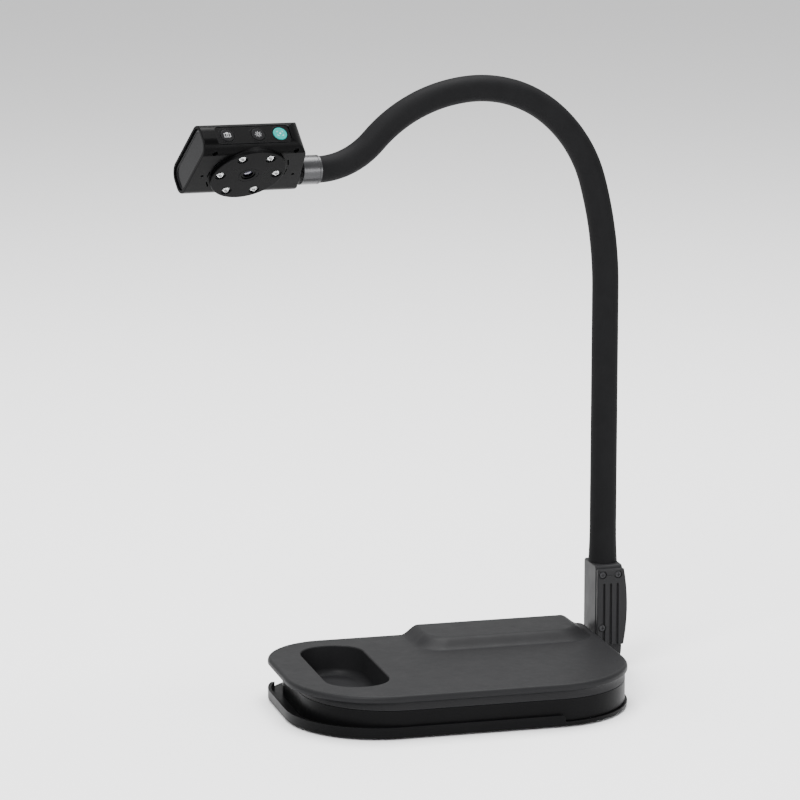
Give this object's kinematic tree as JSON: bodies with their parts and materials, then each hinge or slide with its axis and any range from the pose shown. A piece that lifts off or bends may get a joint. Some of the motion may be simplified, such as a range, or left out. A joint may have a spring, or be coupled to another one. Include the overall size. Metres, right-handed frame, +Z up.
{
  "type": "document scanner",
  "caption": "Desk document scanner: a camera head with a ring of lamps and press buttons on a bendable gooseneck arm over a low weighted base with a hand grip.",
  "frame": {"origin": "on the table surface, under the centre of the scanner seen from above", "axes": "+X along the base from the hand grip to the arm, +Y from the user to the back, +Z up"},
  "size_m": [0.3104, 0.153, 0.408],
  "materials": {
    "deck_plastic": "fine-grained satin black",
    "shell_plastic": "satin black",
    "rubber": "matte black, fine rib",
    "gloss_black": "glossy black",
    "steel": "plain steel",
    "zinc": "bright zinc plating",
    "black_steel": "blackened, satin",
    "circuit_board": "green solder mask",
    "collar_metal": "dark grey satin",
    "led_clear": "clear moulded LED",
    "lens_glass": "coated lens glass",
    "teal_plastic": "satin teal"
  },
  "bodies": {
    "base": {"base_tray": "shell_plastic", "base_middle_shell": "shell_plastic", "base_deck": "deck_plastic", "ballast_plate": "steel", "main_board": "circuit_board", "usb_socket": "zinc", "foot_1": "rubber", "foot_2": "rubber", "foot_3": "rubber", "foot_4": "rubber", "base_screw_1": "zinc", "base_screw_2": "zinc", "base_screw_3": "zinc", "base_screw_4": "zinc", "pivot_bracket": "steel", "pivot_bush": "gloss_black"},
    "holder": {"holder_housing": "shell_plastic", "holder_cover": "shell_plastic", "cover_screw_1": "black_steel", "cover_screw_2": "black_steel", "cover_screw_3": "black_steel", "pivot_shaft": "steel", "pivot_washer": "zinc", "pivot_nut": "steel", "neck_clamp": "steel", "neck_root": "rubber"},
    "link_1": {"neck_link_1": "rubber"},
    "link_2": {"neck_link_2": "rubber"},
    "link_3": {"neck_link_3": "rubber"},
    "link_4": {"neck_link_4": "rubber"},
    "link_5": {"neck_link_5": "rubber"},
    "link_6": {"neck_link_6": "rubber"},
    "link_7": {"neck_link_7": "rubber"},
    "link_8": {"neck_link_8": "rubber", "neck_collar": "collar_metal", "swivel_nut": "zinc"},
    "head": {"head_front_shell": "shell_plastic", "head_back_cover": "shell_plastic", "head_end_cap": "gloss_black", "lamp_cover": "shell_plastic", "led_board": "circuit_board", "led_1": "led_clear", "led_2": "led_clear", "led_3": "led_clear", "led_4": "led_clear", "led_5": "led_clear", "led_6": "led_clear", "lens_barrel": "gloss_black", "lens_glass": "lens_glass", "sensor_board": "circuit_board", "button_strip": "gloss_black", "switch_board": "circuit_board", "head_screw_1": "black_steel", "head_screw_2": "black_steel"},
    "snapshot_button": {"snapshot_button": "shell_plastic"},
    "lamp_button": {"lamp_button": "shell_plastic"},
    "focus_button": {"focus_button": "teal_plastic"}
  },
  "joints": [
    {"name": "arm_fold", "type": "hinge", "parent": "base", "child": "holder", "pos_m": [0.13358, 0.063, 0.017], "axis": [1, 0, 0], "range_deg": [0, 90]},
    {"name": "neck_bend_1", "type": "hinge", "parent": "holder", "child": "link_1", "pos_m": [0.14258, 0.063, 0.1], "axis": [0, 1, 0], "range_deg": [-45, 45]},
    {"name": "neck_bend_2", "type": "hinge", "parent": "link_1", "child": "link_2", "pos_m": [0.14258, 0.063, 0.154], "axis": [-1, 0, 0], "range_deg": [-45, 45]},
    {"name": "neck_bend_3", "type": "hinge", "parent": "link_2", "child": "link_3", "pos_m": [0.14258, 0.063, 0.208], "axis": [0, -1, 0], "range_deg": [-45, 45]},
    {"name": "neck_bend_4", "type": "hinge", "parent": "link_3", "child": "link_4", "pos_m": [0.14258, 0.063, 0.262], "axis": [1, 0, 0], "range_deg": [-45, 45]},
    {"name": "neck_bend_5", "type": "hinge", "parent": "link_4", "child": "link_5", "pos_m": [0.1325, 0.063, 0.33609], "axis": [0, 1, 0], "range_deg": [-45, 45]},
    {"name": "neck_bend_6", "type": "hinge", "parent": "link_5", "child": "link_6", "pos_m": [0.10391, 0.063, 0.38097], "axis": [-0.6494, 0, -0.7604], "range_deg": [-45, 45]},
    {"name": "neck_bend_7", "type": "hinge", "parent": "link_6", "child": "link_7", "pos_m": [0.04738, 0.063, 0.39934], "axis": [0, -1, 0], "range_deg": [-45, 45]},
    {"name": "neck_bend_8", "type": "hinge", "parent": "link_7", "child": "link_8", "pos_m": [-0.0187, 0.05956, 0.36779], "axis": [-0.7243, -0.0336, 0.6886], "range_deg": [-45, 45]},
    {"name": "head_swivel", "type": "hinge", "parent": "link_8", "child": "head", "pos_m": [-0.05848, 0.05253, 0.35114], "axis": [0.9781, 0.2062, -0.0281], "range_deg": [-90, 90]},
    {"name": "snapshot_press", "type": "slide", "parent": "head", "child": "snapshot_button", "axis": [-0.1707, 0.7175, -0.6753], "range_m": [0, 0.0005], "stiffness_N_per_m": 400},
    {"name": "lamp_press", "type": "slide", "parent": "head", "child": "lamp_button", "axis": [-0.1707, 0.7175, -0.6753], "range_m": [0, 0.0005], "stiffness_N_per_m": 400},
    {"name": "focus_press", "type": "slide", "parent": "head", "child": "focus_button", "axis": [-0.1707, 0.7175, -0.6753], "range_m": [0, 0.0005], "stiffness_N_per_m": 400}
  ]
}
